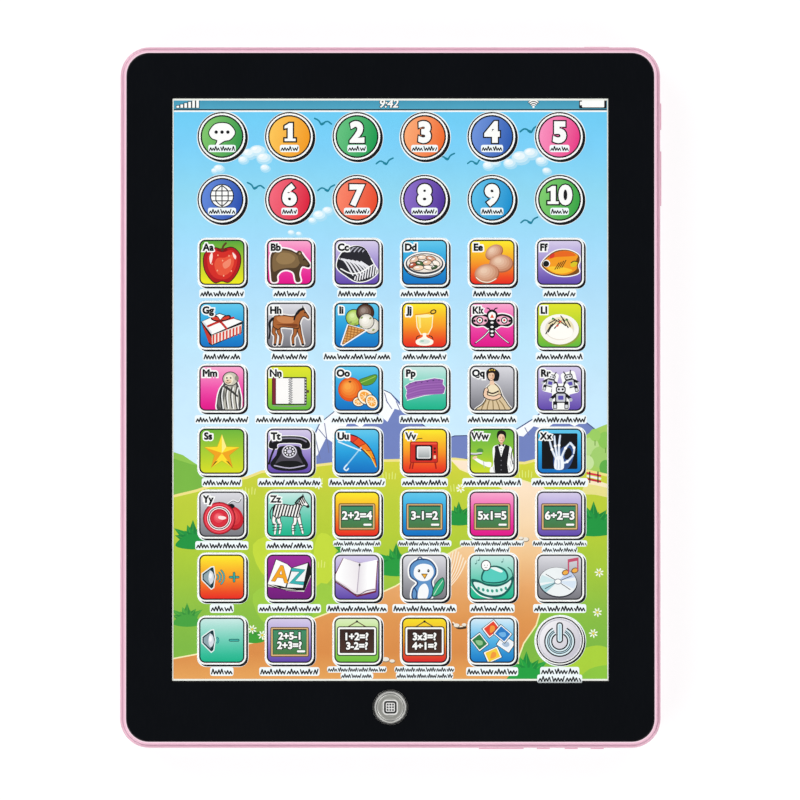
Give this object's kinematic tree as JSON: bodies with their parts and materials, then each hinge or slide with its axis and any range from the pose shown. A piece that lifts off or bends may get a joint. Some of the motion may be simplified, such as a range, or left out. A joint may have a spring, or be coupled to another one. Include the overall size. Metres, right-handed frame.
{
  "type": "kids toy tablet",
  "caption": "Flat battery-powered learning toy in a two-part case: black front panel, printed picture keypad, round sprung button, loudspeaker and screwed battery door.",
  "frame": {"origin": "under the middle of the case, on the plane its back rests on", "axes": "+X to the screen's right, +Y to the screen's top, +Z out of the screen"},
  "size_m": [0.1856, 0.2412, 0.022],
  "materials": {
    "case_pink": "moulded gloss pink ABS",
    "panel_black": "high-gloss black ABS",
    "printed_film": "printed polyester film, clear coated",
    "clear_film": "clear polyester film",
    "circuit_film": "polyester film with silver tracks",
    "rubber_black": "soft black rubber",
    "white_plastic": "moulded white HIPS",
    "circuit_board": "green solder mask on fibreglass",
    "resin_black": "black epoxy resin",
    "capacitor_can": "aluminium can",
    "resistor_black": "ceramic chip with black glaze",
    "bright_steel": "plated steel",
    "zinc_steel": "zinc-plated steel",
    "silicone_grey": "silicone rubber",
    "button_silver": "silver-painted ABS with fine rings",
    "paper_cone": "pressed paper",
    "cell_wrap": "shrink sleeve over steel can",
    "nickel_plate": "nickel-plated spring steel",
    "insert_brass": "turned brass",
    "wire_red": "PVC insulation",
    "wire_black": "PVC insulation",
    "wire_white": "PVC insulation",
    "wire_grey": "PVC insulation"
  },
  "bodies": {
    "case": {"rear_cover": "case_pink", "front_rim": "case_pink", "front_panel": "panel_black", "printed_overlay": "printed_film", "upper_circuit_film": "clear_film", "spacer_film": "clear_film", "lower_circuit_film": "circuit_film", "tail_pad": "rubber_black", "backing_plate": "white_plastic", "main_board": "circuit_board", "chip_blob": "resin_black", "board_capacitors": "capacitor_can", "board_resistors": "resistor_black", "board_crystal": "bright_steel", "board_screws": "zinc_steel", "panel_screws": "zinc_steel", "case_screws": "zinc_steel", "home_dome": "silicone_grey", "home_contact_board": "circuit_board", "home_board_screws": "zinc_steel", "speaker_gasket": "rubber_black", "speaker_frame": "zinc_steel", "speaker_surround": "rubber_black", "speaker_magnet": "bright_steel", "speaker_screws": "zinc_steel", "battery_1": "cell_wrap", "battery_2": "cell_wrap", "battery_3": "cell_wrap", "contact_positive": "nickel_plate", "contact_bridge_left": "nickel_plate", "contact_bridge_right": "nickel_plate", "contact_negative": "nickel_plate", "contact_springs": "nickel_plate", "screw_insert": "insert_brass", "battery_wire_red": "wire_red", "battery_wire_black": "wire_black", "speaker_wire_red": "wire_red", "speaker_wire_black": "wire_black", "button_wire_white": "wire_white", "button_wire_grey": "wire_grey"},
    "button": {"home_button": "button_silver"},
    "cone": {"speaker_cone": "paper_cone"},
    "door": {"battery_door": "case_pink"},
    "washer": {"door_screw_washer": "rubber_black"},
    "screw": {"door_screw": "zinc_steel"}
  },
  "joints": [
    {"name": "home_press", "type": "slide", "parent": "case", "child": "button", "axis": [0, 0, -1], "range_m": [0, 0.0007], "stiffness_N_per_m": 900, "springref_m": -0.0003, "deforming": ["home_dome"]},
    {"name": "cone_travel", "type": "slide", "parent": "case", "child": "cone", "axis": [0, 0, 1], "range_m": [-0.0003, 0.0003], "stiffness_N_per_m": 1500, "deforming": ["speaker_surround"]},
    {"name": "door_swing", "type": "hinge", "parent": "case", "child": "door", "pos_m": [0, -0.01665, 0.00055], "axis": [1, 0, 0], "range_deg": [0, 70]},
    {"name": "screw_lift", "type": "slide", "parent": "door", "child": "washer", "axis": [0, 0, -1], "range_m": [0, 0.002]},
    {"name": "screw_turn", "type": "hinge", "parent": "washer", "child": "screw", "pos_m": [0, -0.0695, 0.003], "axis": [0, 0, -1], "range_deg": [0, 720]}
  ],
  "couplings": [
    {"joint": "screw_turn", "follows": "screw_lift", "rad_per_m": 6276.9}
  ]
}
